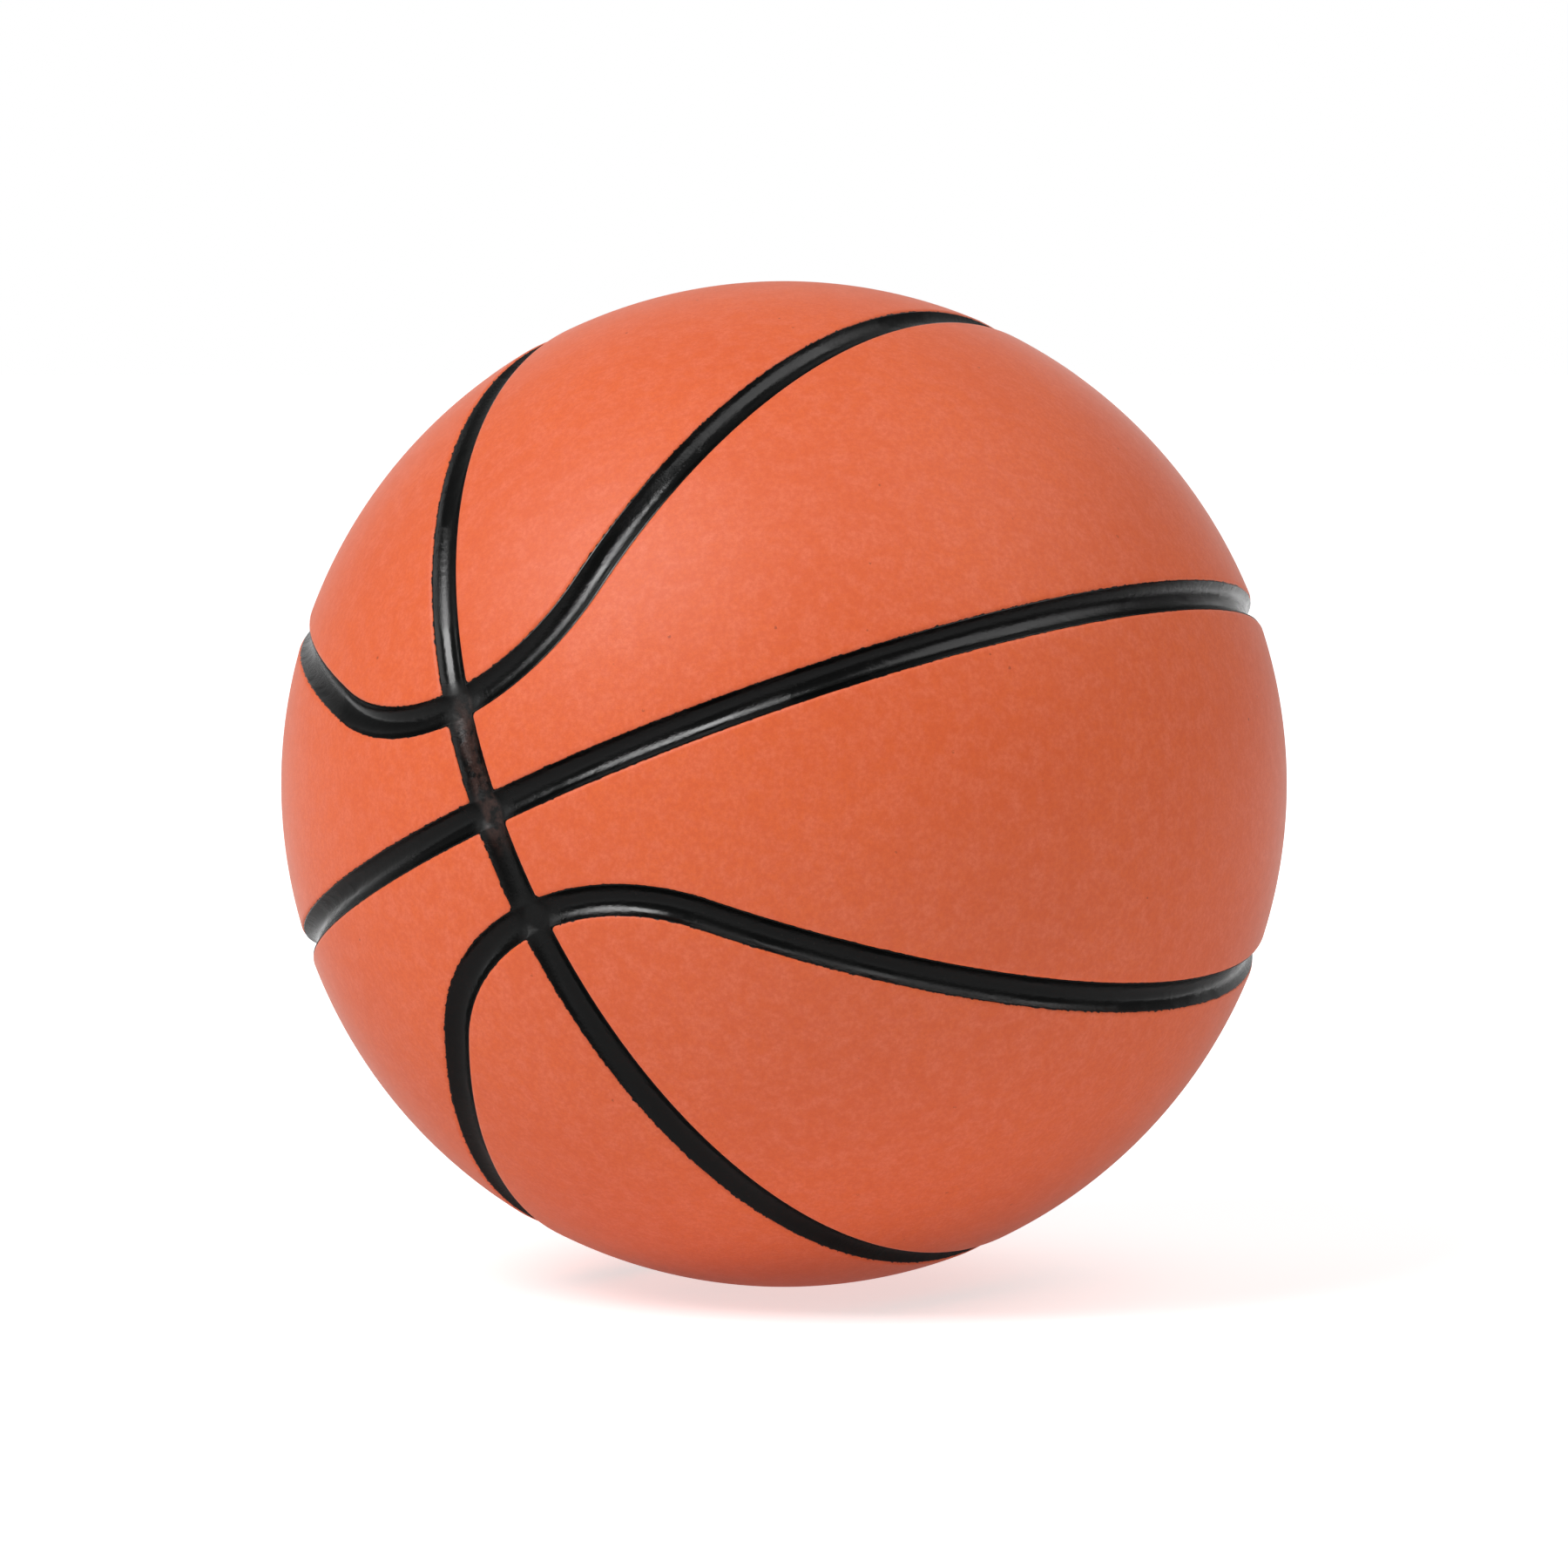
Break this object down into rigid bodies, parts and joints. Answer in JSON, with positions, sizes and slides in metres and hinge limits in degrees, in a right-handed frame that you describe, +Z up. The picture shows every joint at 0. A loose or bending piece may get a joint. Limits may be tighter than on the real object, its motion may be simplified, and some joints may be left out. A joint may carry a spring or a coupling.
{
  "type": "basketball",
  "caption": "Full-size basketball with smooth orange cover panels set between wide black channels on a wound, inflatable carcass with a needle valve.",
  "frame": {"origin": "centre of the ball", "axes": "+Z up in the pictured attitude, -Y towards the picture's camera, +X to the picture's right"},
  "size_m": [0.243, 0.243, 0.243],
  "materials": {
    "cover": "matte smooth orange cover",
    "channel_rubber": "glossy black",
    "winding_thread": "wound undyed thread",
    "bladder_rubber": "matte black",
    "valve_rubber": "satin dark grey"
  },
  "bodies": {
    "root": {"bladder": "bladder_rubber", "valve_seat": "valve_rubber", "valve_core": "valve_rubber", "thread_winding": "winding_thread", "carcass": "channel_rubber", "cap_panel_upper_right": "cover", "cap_panel_upper_left": "cover", "cap_panel_lower_right": "cover", "cap_panel_lower_left": "cover", "side_panel_upper_right": "cover", "side_panel_upper_left": "cover", "side_panel_lower_right": "cover", "side_panel_lower_left": "cover"}
  },
  "joints": []
}
